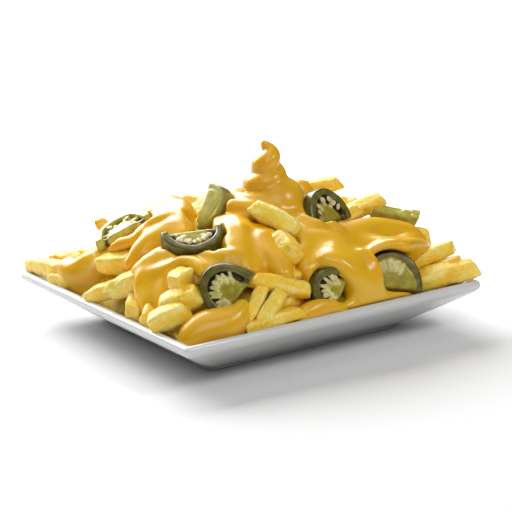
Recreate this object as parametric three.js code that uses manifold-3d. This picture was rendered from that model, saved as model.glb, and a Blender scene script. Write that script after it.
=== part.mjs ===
// A square white plate heaped with fries under a cheese sauce, with pickled jalapeno slices on top.
// Millimetres, +Z up. The origin is at the bottom centre of the plate, its sides run along X and Y,
// and its front right side faces -Y.
import * as THREE from 'three';
import { mergeVertices } from 'three/addons/utils/BufferGeometryUtils.js';
import Module from 'manifold-3d';

const wasm = await Module();
wasm.setup();

// Driving dimensions
const GAP = 0.3;                 // clearance between pieces that touch

const plate = {
  half: 100,                     // half the outer side of the rim
  rim: 29.4,                     // height of the rim
  footHalf: 65,                  // half the side of the foot ring
  wellHalf: 60,                  // half the side of the flat inside
  wellZ: 7,                      // height of the flat inside
  corner: 2.4,                   // corner radius of the rim in plan
  cornerGrowth: 0.08,            // extra corner radius for each mm further in
  arcSteps: 3,                   // facets round a corner
  sideSteps: 1,                  // facets along a side
};

const heap = {
  half: 97,                      // half width of the heap at the rim
  base: 26,                      // height of its edge
  top: 80,                       // height of its crown
  squareness: 4,                 // exponent of the rounded-square outline
  fall: 2.4,                     // how late the crown starts to fall
  round: 0.8,                    // how round the shoulder is
  lean: 0.18,                    // how much lower it lies for each mm towards the back right
  leanFrom: -10,                 // where that starts
  floor: 5,                      // height of the core's underside, inside the plate's floor
  coreDrop: 8,                   // the packed core lies this far under the outline
  fill: 46,                      // places for loose fries between the ones placed by hand
  fillReach: 76,                 // how far out they lie
  rimFill: 22,                   // places for fries along the rim
  rimReach: 88,
  spread: 99,                    // no fry reaches further out than this
  thickness: 10,                 // a loose fry's width and height
};

const sauce = {
  axis: [8, -18],                // where the sauce was poured
  over: 3.5,                     // how far the sheet stands above the heap's outline
  under: 6,                      // how far its underside lies below it
  reach: 46,                     // reach of the sheet between its lobes
  rings: 5,                      // facets from the middle to the rounded lip
  segments: 42,
};

const swirl = {
  bottom: 68,                    // height where the first turn starts
  turns: 3.4,
  ridge: 0.36,                   // depth of the groove between turns, as a share of the radius
  segments: 16,
  rings: 20,
};

const slice = { wall: 4.5, cavity: 3.2, steps: 9 };

// Lobes of the sauce sheet: heading from the swirl in degrees, reach in mm, half width in degrees
const sauceLobes = [
  [156, 108, 15], [178, 88, 12], [196, 101, 12], [242, 67, 17], [290, 82, 18], [328, 72, 24],
  [12, 74, 18], [56, 86, 20], [100, 96, 17], [130, 88, 14],
];

// Fries placed by hand: centre x, y, z, heading, pitch, length, thickness, roll about their length
const handLaidFries = [
  [-91, 75, 34, -87, 4, 48, 10, 0], [-78, 76, 38, -61, -5, 22, 10, 20],
  [-89, 57, 32, -82, 8, 16, 10, 0], [-50, 84, 42, -60, 65, 32, 9, 30],
  [-73, 6, 51, -55, 6, 40, 12, 20], [-69, 21, 56, -95, -14, 24, 9, 0],
  [-85, -1, 41, -60, 22, 42, 10, 0], [-86, -15, 40, -50, 10, 34, 11, 20],
  [-84, -21, 37, 25, 17, 28, 10, 0], [-83, -42, 35, 20, 15, 30, 9, 0],
  [-86, -64, 35, -20, 20, 24, 11, 10], [-78, -62, 45, -20, 22, 25, 12, 0],
  [-73, -53, 54, 30, 5, 18, 11, 0], [-8, -48, 75, -60, -20, 31, 9, 15],
  [-13, -67, 64, -95, -25, 20, 11, 30], [-28, -82, 47, -13, -18, 36, 11, 0],
  [-46, -83, 40, 45, 50, 32, 10, 0], [-37, -86, 37, 20, 30, 28, 10, 0],
  [-35, -91, 32, -2, 4, 36, 9, 0], [-8, -74, 47, 10, 4, 34, 10, 0],
  [52, 0, 75, -18, 4, 32, 8, 0], [62, -35, 67, -5, 14, 32, 9, 20],
  [62, -14, 63, -15, 8, 22, 10, 0], [80, -53, 51, -28, -8, 30, 9, 10],
  [78, -74, 42, -12, 14, 38, 9, 10], [77, -83, 37, -20, 12, 36, 9, 0],
  [81, -90, 35, -12, 7, 40, 10, 0], [-13, 22, 68, 10, 35, 26, 9, 0],
  [52, -18, 67, -32, 0, 18, 11, 0],
];

// Jalapeno half slices: centre x, y, z, heading and elevation of the cut face, spin of the round
// side from uphill, width across, depth from the straight cut to the round side, thickness
const jalapenos = [
  [-66, 28, 65, 175, 65, -75, 37, 20, 7],
  [-26, -5, 76, 165, 40, -95, 32, 19, 9],
  [-55, -37, 68, 235, 65, 170, 36, 20, 8],
  [-59, -74, 50, 235, 15, -55, 33, 24, 8],
  [31, -41, 73, 300, 30, 0, 31, 22, 8],
  [80, -40, 58, 235, -15, -165, 31, 18, 9],
  [2, -86, 42, 255, 10, -60, 27, 19, 8],
  [47, -83, 40, 240, 20, 5, 38, 23, 8],
  [62, 44, 53, 40, 60, 150, 36, 20, 8],
  [-12, 66, 56, 100, 50, 20, 35, 20, 8],
  [84, 10, 43, 10, 35, -40, 34, 20, 8],
];

// Small pools beside the heap: centre, radii, heading of the long axis
const frontPool = { at: [-73, -81, 32], radii: [23, 15, 12], heading: -12 };
const sidePool = { at: [-7, -90.5, 31], radii: [16, 6, 7], heading: 0 };

const rad = THREE.MathUtils.degToRad;

// Solids and geometries
function toSolid(geometry) {
  const bare = geometry.clone();
  bare.deleteAttribute('normal');
  bare.deleteAttribute('uv');
  const merged = mergeVertices(bare, 1e-4);
  return new wasm.Manifold(new wasm.Mesh({
    numProp: 3,
    vertProperties: new Float32Array(merged.attributes.position.array),
    triVerts: new Uint32Array(merged.index.array),
  }));
}

function toGeometry(solid) {
  const mesh = solid.getMesh();
  const geometry = new THREE.BufferGeometry();
  geometry.setAttribute('position', new THREE.BufferAttribute(mesh.vertProperties, mesh.numProp));
  geometry.setIndex(new THREE.BufferAttribute(mesh.triVerts, 1));
  geometry.computeVertexNormals();
  return geometry;
}

function union(solids) {
  return solids.reduce((sum, solid) => sum.add(solid));
}

function largestPiece(solid) {
  const pieces = solid.decompose();
  return pieces.reduce((best, piece) => (piece.volume() > best.volume() ? piece : best));
}

// A lathe about Z whose every point is then moved by place(radius, angle, height)
function shapedLathe(profile, segments, place) {
  const geometry = new THREE.LatheGeometry(profile.map(([r, z]) => new THREE.Vector2(r, z)), segments);
  const points = geometry.attributes.position;
  const rows = profile.length;
  for (let i = 0; i < points.count; i += 1) {
    const turn = Math.floor(i / rows) % segments;
    const [radius, height] = profile[i % rows];
    const [x, y, z] = place(radius, turn, height);
    points.setXYZ(i, x, y, z);
  }
  return geometry;
}

// Plate: a square dish drawn as rings of a rounded square
function roundedSquare(half, turn) {
  const { corner, cornerGrowth, arcSteps, sideSteps } = plate;
  const radius = Math.min(half, corner + cornerGrowth * (plate.half - half));
  const perSide = arcSteps + sideSteps;
  const side = Math.floor(turn / perSide);
  const step = turn % perSide;
  const flat = half - radius;
  let x = half;
  let y = -flat + (2 * flat * step) / sideSteps;
  if (step >= sideSteps) {
    const angle = ((step - sideSteps) / arcSteps) * (Math.PI / 2);
    x = flat + radius * Math.cos(angle);
    y = flat + radius * Math.sin(angle);
  }
  const quarter = side * (Math.PI / 2);
  return [
    x * Math.cos(quarter) - y * Math.sin(quarter),
    x * Math.sin(quarter) + y * Math.cos(quarter),
  ];
}

function plateProfile(grow) {
  const { half, rim, footHalf, wellHalf, wellZ } = plate;
  return [
    [0, 1.8 - grow], [footHalf - 7, 1.8 - grow], [footHalf - 5.5, -grow], [footHalf, -grow],
    [footHalf + grow, 1.6], [footHalf + 3, 3.4 - grow], [half - 16, 13.5 - grow],
    [half - 2.6, 22.6 - grow], [half - 0.4 + grow, 24.8 - grow], [half + grow, 27],
    [half - 1.2 + grow, rim - 0.5 + grow], [half - 3.4, rim + grow], [half - 5.6, rim - 1 + grow],
    [half - 8, rim - 3 + grow], [half - 20, 19 + grow], [wellHalf + 7, 9 + grow],
    [wellHalf, wellZ + grow], [0, wellZ + grow],
  ];
}

function plateSolid(grow = 0) {
  const segments = 4 * (plate.arcSteps + plate.sideSteps);
  const place = (half, turn, z) => (half > 0 ? [...roundedSquare(half, turn), z] : [0, 0, z]);
  return toSolid(shapedLathe(plateProfile(grow), segments, place));
}

// Heap: the outline that the fries fill, and bars that stand out of a packed core
function heapHeight(x, y) {
  const p = heap.squareness;
  const out = (Math.abs(x / heap.half) ** p + Math.abs(y / heap.half) ** p) ** (1 / p);
  const fill = Math.max(0, 1 - out ** heap.fall) ** heap.round;
  const back = Math.max(0, y + 0.5 * x - heap.leanFrom);
  return heap.base + (heap.top - heap.base - heap.lean * back) * fill;
}

// A square ring of that reach, with soft corners
function softSquare(reach, angle) {
  const p = 6;
  const square = (Math.abs(Math.cos(angle)) ** p + Math.abs(Math.sin(angle)) ** p) ** (-1 / p);
  return [reach * square * Math.cos(angle), reach * square * Math.sin(angle)];
}

function heapCore(grow) {
  const rings = 5;
  const segments = 20;
  const profile = [[0, 0]];
  for (let ring = 0; ring <= rings; ring += 1) {
    profile.push([Math.cos((ring / rings) * (Math.PI / 2)), 1]);
  }
  profile[profile.length - 1][0] = 0;
  const place = (share, turn, isTop) => {
    const angle = (turn / segments) * 2 * Math.PI;
    const [x, y] = softSquare(share * (heap.half - heap.coreDrop) + grow * share, angle);
    const [overX, overY] = softSquare(share * heap.half, angle);
    return [x, y, isTop ? heapHeight(overX, overY) - heap.coreDrop + grow : heap.floor];
  };
  return toSolid(shapedLathe(profile, segments, place));
}

// A fry is a straight bar, cut square, and moved in where it would reach past the rim
function insideRim([x, y, z, heading, pitch, length, thickness, roll]) {
  const half = (length / 2) * Math.cos(rad(pitch));
  const roomX = heap.spread - half * Math.abs(Math.cos(rad(heading))) - thickness * 0.6;
  const roomY = heap.spread - half * Math.abs(Math.sin(rad(heading))) - thickness * 0.6;
  const inX = THREE.MathUtils.clamp(x, -roomX, roomX);
  const inY = THREE.MathUtils.clamp(y, -roomY, roomY);
  return [inX, inY, z, heading, pitch, length, thickness, roll];
}

function fry(row, grow) {
  const [x, y, z, heading, pitch, length, thickness, roll] = insideRim(row);
  const bar = new THREE.BoxGeometry(length + 2 * grow, thickness + 2 * grow, thickness + 2 * grow);
  const place = new THREE.Object3D();
  place.position.set(x, y, z);
  place.rotation.set(rad(roll), -rad(pitch), rad(heading), 'ZYX');
  place.updateMatrix();
  return toSolid(bar.applyMatrix4(place.matrix));
}

function underSauce(x, y) {
  const [ax, ay] = sauce.axis;
  const angle = THREE.MathUtils.radToDeg(Math.atan2(y - ay, x - ax));
  return Math.hypot(x - ax, y - ay) < sauceReach(angle) - 4;
}

// Loose fries keep clear of the hand-laid ones and of the sheet of sauce
function looseFry(i, around, out, wobble) {
  const [x, y] = softSquare(out, rad(around));
  const heading = around + 90 + ((i * 67) % (2 * wobble)) - wobble;
  const pitch = ((i * 5) % 4) * 6 - 9;
  const length = 34 + ((i * 7) % 5) * 4;
  return [x, y, heapHeight(x, y) - 5, heading, pitch, length, heap.thickness, (i * 31) % 90];
}

function looseFries() {
  const golden = 137.5;
  const { fill, fillReach, rimFill, rimReach } = heap;
  const inner = Array.from({ length: fill }, (_, i) => (
    looseFry(i, i * golden, fillReach * Math.sqrt((i + 0.5) / fill), 35)));
  const outer = Array.from({ length: rimFill }, (_, i) => looseFry(i, (i * 360) / rimFill, rimReach, 25));
  const free = ([x, y]) => handLaidFries.every(([hx, hy]) => Math.hypot(x - hx, y - hy) > 13);
  return [...inner, ...outer].filter((row) => free(row) && !underSauce(row[0], row[1]));
}

function heapSolid(grow = 0) {
  const fries = [...handLaidFries, ...looseFries()].map((row) => fry(row, grow));
  return union([heapCore(grow), ...fries]);
}

// Sauce: a lobed sheet over the heap with a piped swirl in its middle
function sauceReach(angle) {
  const sum = sauceLobes.reduce((total, [heading, reach, width]) => {
    const off = ((((angle - heading) % 360) + 540) % 360) - 180;
    return total + ((reach - sauce.reach) * Math.exp(-((off / width) ** 2))) ** 4;
  }, 0);
  return sauce.reach + sum ** 0.25;
}

function sauceSheet() {
  const { axis, over, under, rings, segments } = sauce;
  const inner = Array.from({ length: rings - 1 }, (_, ring) => (0.94 * (ring + 1)) / (rings - 1));
  const profile = [
    [0, -under], ...inner.map((share) => [share, -under]),
    [0.99, -under * 0.7], [1, -under * 0.1], [0.98, over * 0.6],
    ...inner.reverse().map((share) => [share, over]), [0, over],
  ];
  const place = (share, turn, lift) => {
    const angle = (turn / segments) * 360;
    const reach = share * sauceReach(angle);
    const x = THREE.MathUtils.clamp(axis[0] + reach * Math.cos(rad(angle)), -heap.half, heap.half);
    const y = THREE.MathUtils.clamp(axis[1] + reach * Math.sin(rad(angle)), -heap.half, heap.half);
    return [x, y, heapHeight(x, y) + lift];
  };
  return toSolid(shapedLathe(profile, segments, place));
}

function swirlRadius(climb) {
  const curve = new THREE.CatmullRomCurve3([
    new THREE.Vector3(30, 0, 0), new THREE.Vector3(26, 0, 7), new THREE.Vector3(20, 0, 15),
    new THREE.Vector3(13, 0, 23), new THREE.Vector3(10, 0, 31), new THREE.Vector3(6.5, 0, 38),
    new THREE.Vector3(3.5, 0, 43), new THREE.Vector3(0, 0, 46),
  ]);
  return curve.getPoint(climb);
}

function swirlSolid() {
  const { bottom, turns, ridge, segments, rings } = swirl;
  const profile = [[0, 0]];
  for (let ring = 0; ring < rings; ring += 1) {
    const point = swirlRadius(ring / rings);
    profile.push([point.x, point.z]);
  }
  profile.push([0, swirlRadius(1).z]);
  const height = swirlRadius(1).z;
  const place = (radius, turn, climb) => {
    const angle = (turn / segments) * 2 * Math.PI;
    const phase = turns * (climb / height) ** 0.8 - turn / segments;
    const groove = 1 - ridge * (1 - Math.abs(Math.sin(Math.PI * phase)) ** 0.6);
    return [
      sauce.axis[0] + radius * groove * Math.cos(angle),
      sauce.axis[1] + radius * groove * Math.sin(angle),
      bottom + climb,
    ];
  };
  return toSolid(shapedLathe(profile, segments, place));
}

function poolSolid({ at, radii, heading }) {
  const blob = new THREE.SphereGeometry(1, 10, 7);
  blob.rotateX(Math.PI / 2);
  blob.scale(...radii);
  blob.rotateZ(rad(heading));
  blob.translate(...at);
  return toSolid(blob);
}

// Jalapeno: half a round slice of a halved pepper, with the crescent its seeds hang in
function halfEllipse(width, depth, path, steps) {
  for (let step = 0; step <= steps; step += 1) {
    const angle = (step / steps) * Math.PI;
    const x = (width / 2) * Math.cos(angle);
    const y = depth * Math.sin(angle);
    if (step === 0) path.moveTo(x, y);
    else path.lineTo(x, y);
  }
  path.closePath();
  return path;
}

function crescent(width, depth) {
  const { wall, cavity, steps } = slice;
  const path = new THREE.Path();
  const arc = (inset, from, to) => Array.from({ length: steps - 2 }, (_, i) => {
    const angle = from + ((to - from) * i) / (steps - 3);
    return [(width / 2 - inset) * Math.cos(angle), (depth - inset) * Math.sin(angle)];
  });
  const points = [...arc(wall, 0.35, Math.PI - 0.35), ...arc(wall + cavity, Math.PI - 0.45, 0.45)];
  points.forEach(([x, y], i) => (i ? path.lineTo(x, y) : path.moveTo(x, y)));
  path.closePath();
  return path;
}

function sliceGeometry([x, y, z, heading, elevation, spin, width, depth, thickness], grow, open) {
  const centre = 0.42 * depth;
  const outline = halfEllipse(width + 2 * grow, depth + 2 * grow, new THREE.Shape(), slice.steps);
  if (open) outline.holes.push(crescent(width, depth));
  const body = new THREE.ExtrudeGeometry(outline, {
    depth: thickness + 2 * grow, bevelEnabled: false, curveSegments: 1,
  });
  body.translate(0, -centre - grow, -thickness / 2 - grow);
  const h = rad(heading);
  const e = rad(elevation);
  const s = rad(spin);
  const normal = new THREE.Vector3(Math.cos(e) * Math.cos(h), Math.cos(e) * Math.sin(h), Math.sin(e));
  const side = new THREE.Vector3(-Math.sin(h), Math.cos(h), 0);
  const rise = new THREE.Vector3().crossVectors(normal, side);
  const arc = rise.clone().multiplyScalar(Math.cos(s)).addScaledVector(side, Math.sin(s));
  const cut = new THREE.Vector3().crossVectors(arc, normal);
  const turned = new THREE.Matrix4().makeBasis(cut, arc, normal).setPosition(x, y, z);
  return body.applyMatrix4(turned);
}

// Finishes
const finish = {
  glaze: { color: 0xf3f3f1, roughness: 0.18, metalness: 0 },
  fried: { color: 0xe8cf62, roughness: 0.62, metalness: 0 },
  cheese: { color: 0xe3ab22, roughness: 0.28, metalness: 0 },
  pepper: { color: 0x6f6b26, roughness: 0.32, metalness: 0 },
};

function piece(name, geometry, look) {
  const mesh = new THREE.Mesh(geometry, new THREE.MeshStandardMaterial(look));
  mesh.name = name;
  return mesh;
}

// Assembly: each soft piece gives way to the firmer ones it lies against
function assemble() {
  const group = new THREE.Group();
  const plateRoom = plateSolid(GAP);
  const slices = jalapenos.map((row) => toSolid(sliceGeometry(row, 0, true)));
  const sliceRoom = union(jalapenos.map((row) => toSolid(sliceGeometry(row, GAP, false))));
  const fries = largestPiece(heapSolid().subtract(plateRoom).subtract(sliceRoom));
  const firm = heapSolid(GAP).add(plateRoom).add(sliceRoom);
  const cheese = largestPiece(sauceSheet().add(swirlSolid()).subtract(firm));
  const pools = [frontPool, sidePool].map((row) => poolSolid(row).subtract(firm).subtract(sauceSheet()));

  group.add(piece('plate', toGeometry(plateSolid()), finish.glaze));
  group.add(piece('fries_heap', toGeometry(fries), finish.fried));
  group.add(piece('cheese_sauce', toGeometry(cheese), finish.cheese));
  group.add(piece('cheese_pool_front', toGeometry(largestPiece(pools[0])), finish.cheese));
  group.add(piece('cheese_pool_side', toGeometry(largestPiece(pools[1])), finish.cheese));
  slices.forEach((solid, i) => {
    const name = `jalapeno_${String(i + 1).padStart(2, '0')}`;
    group.add(piece(name, toGeometry(solid), finish.pepper));
  });
  return group;
}

export default assemble();
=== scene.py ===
import math

import bpy
import numpy as np
from mathutils import Matrix, Vector


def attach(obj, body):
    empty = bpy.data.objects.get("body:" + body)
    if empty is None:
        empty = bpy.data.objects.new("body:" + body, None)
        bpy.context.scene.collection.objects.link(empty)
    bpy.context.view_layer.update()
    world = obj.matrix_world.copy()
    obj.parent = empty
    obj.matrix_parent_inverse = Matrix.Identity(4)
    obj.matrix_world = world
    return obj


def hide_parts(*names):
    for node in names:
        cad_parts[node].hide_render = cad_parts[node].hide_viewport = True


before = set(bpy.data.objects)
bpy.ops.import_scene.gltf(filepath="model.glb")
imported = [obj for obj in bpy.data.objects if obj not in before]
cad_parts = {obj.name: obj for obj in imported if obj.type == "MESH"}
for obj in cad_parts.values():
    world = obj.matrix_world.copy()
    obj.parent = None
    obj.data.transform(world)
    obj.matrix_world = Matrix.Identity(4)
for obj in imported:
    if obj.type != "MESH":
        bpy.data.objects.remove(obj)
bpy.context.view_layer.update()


# ---------------------------------------------------------------------------
# The eye: a long lens a metre and a half away, low at the plate's front corner,
# turned a little clockwise as the dish is shown.
# ---------------------------------------------------------------------------
EYE = Vector((-0.6557, -1.0759, 0.3905))
LOOK_DOWN, LOOK_ROUND, TILT = (math.radians(angle) for angle in (15.49, -31.68, -2.55))
away = Vector((
    math.sin(LOOK_ROUND) * math.cos(LOOK_DOWN),
    -math.cos(LOOK_ROUND) * math.cos(LOOK_DOWN),
    math.sin(LOOK_DOWN),
))
level = Vector((math.cos(LOOK_ROUND), math.sin(LOOK_ROUND), 0))
rise = away.cross(level)
across = level * math.cos(TILT) + rise * math.sin(TILT)
upward = rise * math.cos(TILT) - level * math.sin(TILT)

camera_data = bpy.data.cameras.new("eye")
camera_data.lens = 154.7
camera_data.sensor_width = 36
camera_data.clip_start = 0.1
camera = bpy.data.objects.new("eye", camera_data)
camera.matrix_world = Matrix((across, upward, away)).transposed().to_4x4()
camera.location = EYE
bpy.context.collection.objects.link(camera)
bpy.context.scene.camera = camera


# ---------------------------------------------------------------------------
# Plate: square white porcelain, slip cast in one piece with a flared wall, a
# rolled rim and a thin foot ring, and glazed all over but for the foot.
# ---------------------------------------------------------------------------
MM = 0.001
PLATE_HALF = 100
RIM_CORNER, CORNER_GROWTH = 2.4, 0.08
# half width and height, from under the well over the foot and the rim back to the well
WALL_PROFILE = [
    (0, 1.8), (40, 1.8), (58, 1.8), (59.5, 0), (62, 0), (64.7, 0), (65, 1.8), (66.6, 2.7), (69, 4.1),
    (84, 13.5), (93, 19.6), (97.4, 22.6), (99.6, 24.6), (100.1, 26.6), (99.8, 28.4),
    (98.4, 29.4), (96.6, 29.4), (94.6, 28.7), (92, 26.7), (80, 18.6), (67, 9.2), (60, 7), (40, 7), (0, 7),
]


def mesh_object(name, points, faces):
    mesh = bpy.data.meshes.new(name)
    mesh.from_pydata([tuple(point) for point in points], [], [tuple(face) for face in faces])
    mesh.validate()
    mesh.polygons.foreach_set("use_smooth", [True] * len(mesh.polygons))
    piece = bpy.data.objects.new(name, mesh)
    bpy.context.collection.objects.link(piece)
    return piece


def ring_faces(rings, around):
    # The faces of a closed form: a first point, rings of points, and a last point
    faces = [(0, 1 + (k + 1) % around, 1 + k) for k in range(around)]
    for ring in range(rings - 1):
        low, high = 1 + ring * around, 1 + (ring + 1) * around
        for k in range(around):
            after = (k + 1) % around
            faces.append((low + k, low + after, high + after, high + k))
    top, last = 1 + (rings - 1) * around, 1 + rings * around
    return faces + [(last, top + k, top + (k + 1) % around) for k in range(around)]


def soften(points, passes):
    # Cutting the corners of a line again and again turns it into a curve
    for _ in range(passes):
        cut = [points[0]]
        for a, b in zip(points, points[1:]):
            cut.append(tuple(0.75 * p + 0.25 * q for p, q in zip(a, b)))
            cut.append(tuple(0.25 * p + 0.75 * q for p, q in zip(a, b)))
        points = cut + [points[-1]]
    return points


def rounded_square(half, arc_steps=10, side_steps=10):
    corner = min(half, RIM_CORNER + CORNER_GROWTH * (PLATE_HALF - half))
    flat = half - corner
    ring = []
    for side in range(4):
        quarter = side * math.pi / 2
        turned = (math.cos(quarter), math.sin(quarter))
        leg = [(half, -flat + 2 * flat * step / side_steps) for step in range(side_steps)]
        for step in range(arc_steps):
            angle = step / arc_steps * math.pi / 2
            leg.append((flat + corner * math.cos(angle), flat + corner * math.sin(angle)))
        ring += [(x * turned[0] - y * turned[1], x * turned[1] + y * turned[0]) for x, y in leg]
    return ring


def set_sockets(node, settings):
    for socket, value in dict(settings).items():
        node.inputs[socket].default_value = value


def add_node(tree, kind, settings=(), **traits):
    node = tree.nodes.new(kind)
    for trait, value in traits.items():
        setattr(node, trait, value)
    set_sockets(node, settings)
    return node


def colour_ramp(tree, *stops):
    ramp = add_node(tree, "ShaderNodeValToRGB")
    for element, (position, colour) in zip(ramp.color_ramp.elements, stops):
        element.position = position
        element.color = (*colour, 1)
    return ramp


def join(tree, joints):
    for source, result, target, socket in joints:
        tree.links.new(source.outputs[result], target.inputs[socket])


def noise_node(tree, **settings):
    # Noise that stays in place on the object
    place = add_node(tree, "ShaderNodeTexCoord")
    noise = add_node(tree, "ShaderNodeTexNoise", settings)
    join(tree, [(place, "Object", noise, "Vector")])
    return noise


def add_relief(tree, shader, noise, strength, distance):
    relief = add_node(tree, "ShaderNodeBump", {"Strength": strength, "Distance": distance})
    join(tree, [(noise, "Fac", relief, "Height"), (relief, "Normal", shader, "Normal")])


def new_material(name, settings):
    material = bpy.data.materials.new(name)
    material.use_nodes = True
    shader = material.node_tree.nodes["Principled BSDF"]
    set_sockets(shader, settings)
    return material, material.node_tree, shader


def porcelain():
    glaze, tree, shader = new_material("porcelain_glaze", {
        "Roughness": 0.12, "IOR": 1.5, "Coat Weight": 0.35, "Coat Roughness": 0.04})
    pooling = noise_node(tree, Scale=14, Detail=2)
    tint = colour_ramp(tree, (0, (0.64, 0.64, 0.63)), (1, (0.70, 0.70, 0.695)))
    join(tree, [(pooling, "Fac", tint, "Fac"), (tint, "Color", shader, "Base Color")])
    add_relief(tree, shader, noise_node(tree, Scale=60), 0.04, 0.0004)
    return glaze


profile = soften(WALL_PROFILE[1:-1], 2)
points = [(0, 0, WALL_PROFILE[0][1] * MM)]
for half, height in profile:
    points += [(x * MM, y * MM, height * MM) for x, y in rounded_square(half)]
points.append((0, 0, WALL_PROFILE[-1][1] * MM))
around = len(rounded_square(PLATE_HALF))
plate = mesh_object("square_plate", points, ring_faces(len(profile), around))
plate.data.materials.append(porcelain())
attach(plate, "root")
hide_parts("plate")


# ---------------------------------------------------------------------------
# Fries: potato sticks about 10 mm thick, fried pale gold with crisp lighter
# edges. Those that show are laid one by one, and loose ones fill the heap.
# Their lighter edges and pale flecks are partly a dry crust and partly painted highlights.
# ---------------------------------------------------------------------------
HEAP_HALF, HEAP_BASE, HEAP_TOP = 97, 26, 80
HEAP_LEAN = 0.18  # how much lower the heap lies for each millimetre towards the back
FRY_SPREAD = 99  # how far out a loose fry may reach
FRY_ROOM = 0.6  # of its thickness: how far a fry's middle line keeps from the plate and the rim
SPREAD_OUT, NEXT_TURN = 90, 137.5  # the loose fries lie on a spiral, each this many degrees on
# the layers of loose fries: how many, and how deep their middles lie
LOOSE_LAYERS = ((80, 9.5), (60, 16))
# the row of fries along each side of the plate: where along it, how far out and how high
RIM_ROW, RIM_ROW_OUT, RIM_ROW_HEIGHT = (-74, -46, -18, 10, 38, 66), 90.5, 31
STICK_LENGTH, STICK_THICKNESS = 40, 10  # of the one stick that every fry is made from
CORE_HALF, CORE_STEPS, CORE_DEPTH = 85, 60, 17
# the fries laid one by one: centre x, y, z, heading, pitch, length, thickness, roll about the length
HAND_LAID = [
    (-91, 79, 34, -87, 4, 39, 10, 0), (-78, 76, 38, -61, -5, 22, 10, 20),
    (-92, 58, 31, -82, 8, 16, 9, 0), (-55, 62.5, 51.5, 120, 50, 24, 8, 30),
    (-73, 6, 51, -55, 6, 40, 12, 20), (-69, 21, 56, -95, -14, 24, 9, 0),
    (-88, 3, 37, -66, 22, 37, 10, 10), (-85, -12, 43, -60, 22, 22, 12, 15),
    (-88, -23, 33, 50, 5, 24, 11, 10), (-89, -42, 33, 45, 8, 22, 9, 30),
    (-88.5, -63, 36.5, -26, 24, 22, 11, 10), (-79.5, -60, 44, -42, 20, 24, 11.5, 20),
    (-73, -53, 54, 30, 5, 18, 11, 0), (-6.5, -48.5, 75, -60, -22, 29, 10.5, 50),
    (-13, -67, 64, -95, -25, 20, 11, 55), (-26, -81, 47, -16, -19, 37, 9, 45),
    (-44, -83, 41, 23, 36, 28, 8, 30), (-37, -87, 37, 14, 30, 26, 9, 30),
    (-37, -91, 31, -2, 3, 36, 7, 0), (-12, -73, 48, 4, 2, 34, 10, 20),
    (52, 0, 75, -18, 4, 32, 8, 0), (62, -35, 67, -5, 14, 32, 9, 20),
    (62, -14, 63, -15, 8, 22, 10, 0), (80, -53, 51, -28, -8, 30, 9, 10),
    (78, -74, 41, -12, 14, 38, 9, 75), (77, -83, 36, -20, 12, 36, 9, 80),
    (81, -90, 34, -12, 7, 41, 11, 10), (-13, 22, 68, 10, 35, 26, 9, 0),
    (52, -18, 67, -32, 0, 18, 11, 0), (-22, -80, 36, 9, 15, 26, 9, 0),
]
# rooms that the loose fries leave to the sauce and to the fries laid one by one: x, y, z, radius
CLEAR_ROOMS = [
    (-70, -84, 34, 15), (-9, -92, 33, 8), (20, -92, 36, 14), (-94, -79, 33, 11), (-94, 50, 34, 13),
    (-89, 41, 34, 13), (-85, 32, 36, 12), (-94, -10, 34, 10), (-93, -34, 34, 9), (18, -74, 58, 13),
    (48, -66, 60, 11), (46, -92, 33, 11), (-38, -12, 69, 8), (-44, -21, 70, 7), (-10, 30, 76, 9),
    (-30, -80, 47, 11), (-12, -84, 45, 9), (-46, -84, 42, 9),
]
CUT_SHARE = 0.42  # of a slice's depth: where the straight cut lies behind its centre
# the pepper slices, which the fries leave room for: centre x, y, z, heading and elevation of the
# face, spin of the round side, width, depth, thickness, ribs and where they sit along the round
# side, seeds, share of the core that is left
PEPPERS = [
    (-66, 28, 65, 175, 65, -75, 37, 20, 7, 9, (0.15, 0.85), 2, 1.0),
    (-23, -7, 76, 190, 35, 85, 31, 18, 9, 0, (0.70, 0.88), 0, 3.4),
    (-55, -37, 68, 235, 65, 170, 36, 20, 8, 4, (0.20, 0.80), 9, 1.0),
    (-59, -74, 50, 235, 15, -55, 33, 24, 8, 10, (0.28, 0.90), 0, 1.1),
    (31, -41, 73, 280, 28, 0, 31, 22, 8, 3, (0.30, 0.70), 6, 0.8),
    (80, -40, 58, 235, -15, -165, 31, 18, 9, 0, (0.20, 0.80), 0, 3.4),
    (3, -86, 41.5, 255, 10, -60, 29, 20.5, 8, 7, (0.25, 0.80), 2, 0.9),
    (47, -83, 40, 240, 20, 5, 38, 23, 8, 10, (0.32, 0.86), 1, 3.0),
    (62, 44, 53, 40, 60, 150, 36, 20, 8, 7, (0.20, 0.70), 4, 1.0),
    (-12, 66, 56, 100, 50, 20, 35, 20, 8, 6, (0.25, 0.80), 5, 1.0),
    (84, 10, 43, 10, 35, -40, 34, 20, 8, 7, (0.30, 0.85), 3, 1.0),
]


def slice_axes(heading, elevation, spin):
    # Along the straight cut, towards the round side, and out of the face
    heading, elevation, spin = (math.radians(angle) for angle in (heading, elevation, spin))
    face = Vector((
        math.cos(elevation) * math.cos(heading),
        math.cos(elevation) * math.sin(heading),
        math.sin(elevation),
    ))
    side = Vector((-math.sin(heading), math.cos(heading), 0))
    uphill = face.cross(side)
    arc = uphill * math.cos(spin) + side * math.sin(spin)
    return Matrix((arc.cross(face), arc, face)).transposed()


def heap_height(x, y):
    out = (np.abs(np.asarray(x) / HEAP_HALF) ** 4 + np.abs(np.asarray(y) / HEAP_HALF) ** 4) ** 0.25
    fill = np.clip(1 - out ** 2.4, 0, 1) ** 0.8
    back = np.maximum(0, np.asarray(y) + 0.5 * np.asarray(x) + 10)
    return HEAP_BASE + (HEAP_TOP - HEAP_BASE - HEAP_LEAN * back) * fill


def plate_inside(x, y):
    # The height of the plate's upper side, from the middle of the well to the top of the rim
    inner = WALL_PROFILE[:-10:-1]
    out = np.maximum(np.abs(x), np.abs(y))
    return np.interp(out, [row[0] for row in inner], [row[1] for row in inner])


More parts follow.
